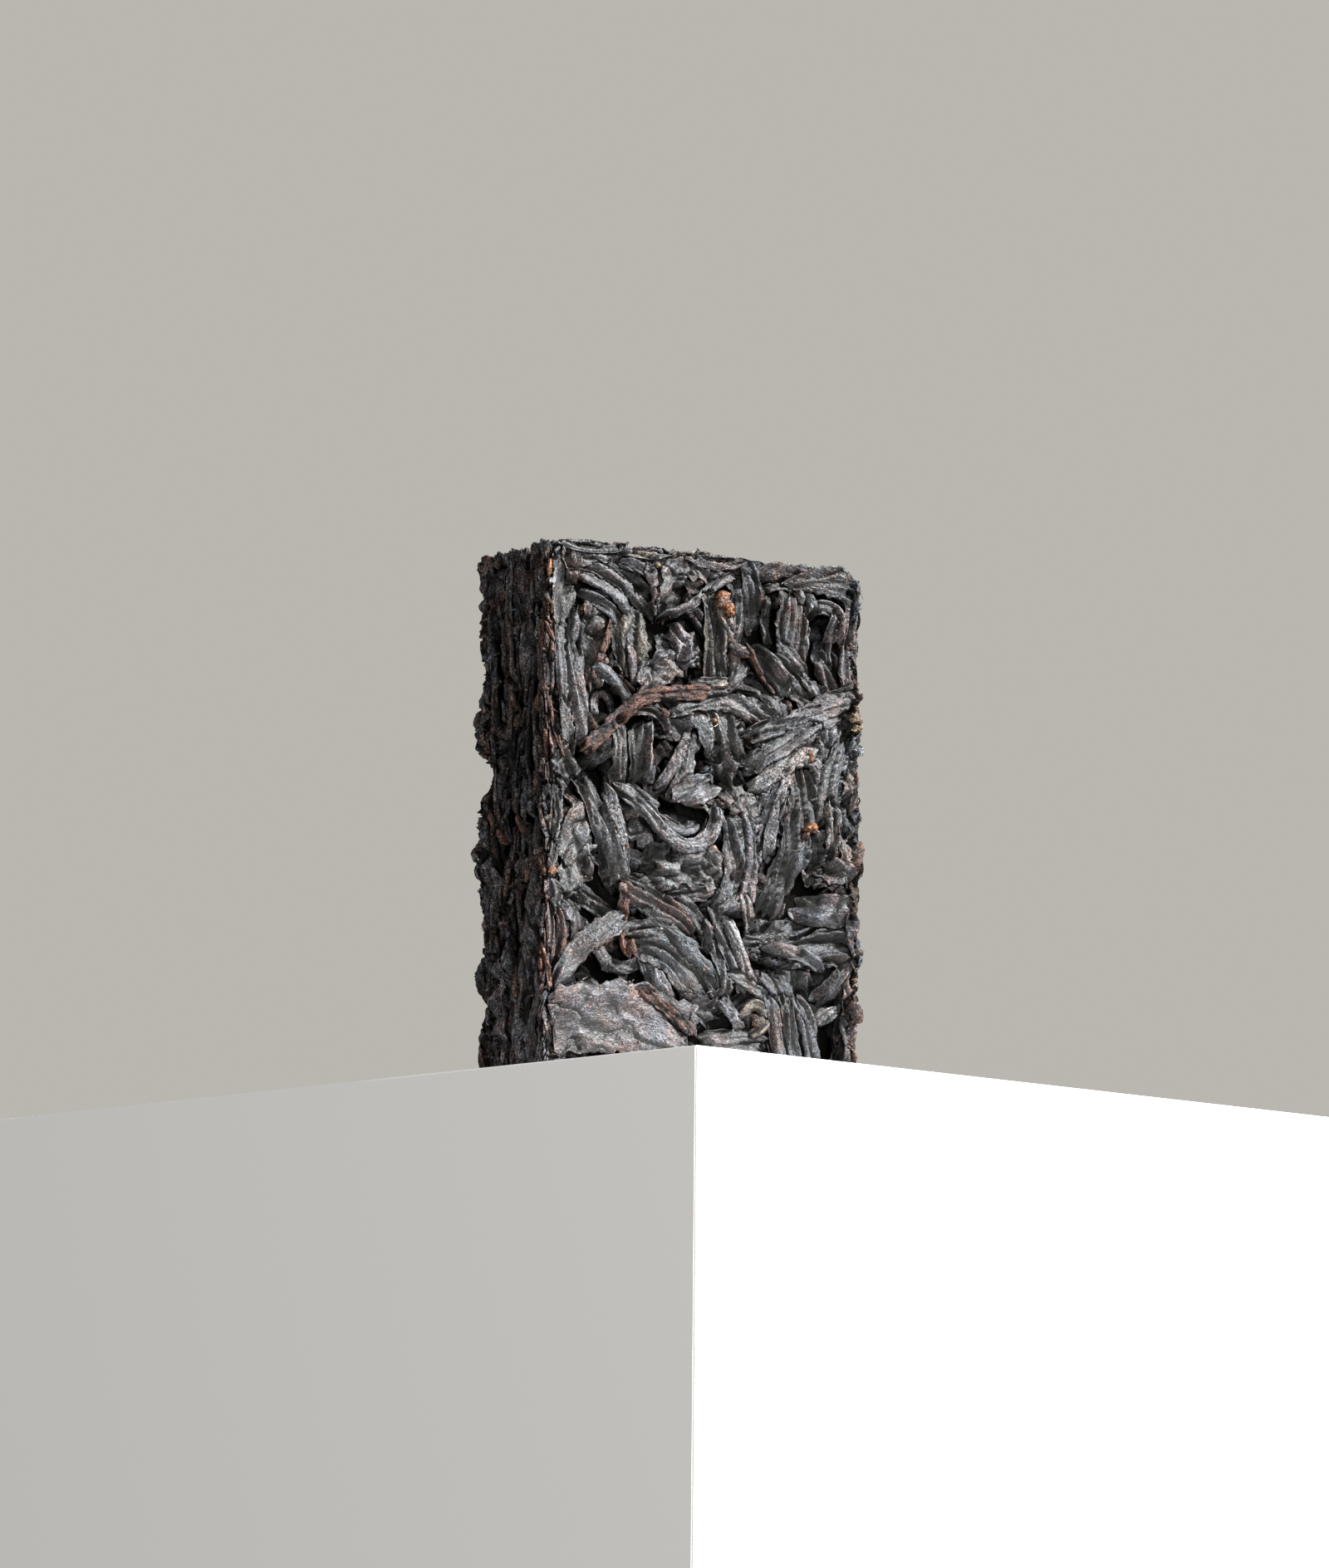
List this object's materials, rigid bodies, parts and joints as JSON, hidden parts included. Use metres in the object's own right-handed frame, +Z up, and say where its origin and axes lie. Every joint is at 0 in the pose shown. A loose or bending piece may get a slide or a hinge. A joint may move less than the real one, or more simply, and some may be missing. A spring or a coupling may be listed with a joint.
{
  "type": "tea brick",
  "caption": "Small block of pressed black tea that stands on its short end, with rolled leaves, broad leaves and stems pressed flat on its faces",
  "frame": {"origin": "middle of the flat base the brick stands on", "axes": "+Z up along the longest side; -Y out of the wide front face; +X towards the right narrow face as seen from the front"},
  "size_m": [0.0314, 0.0124, 0.046],
  "materials": {
    "pressed_leaf": "matt"
  },
  "bodies": {
    "root": {"tea_brick": "pressed_leaf"}
  },
  "joints": []
}
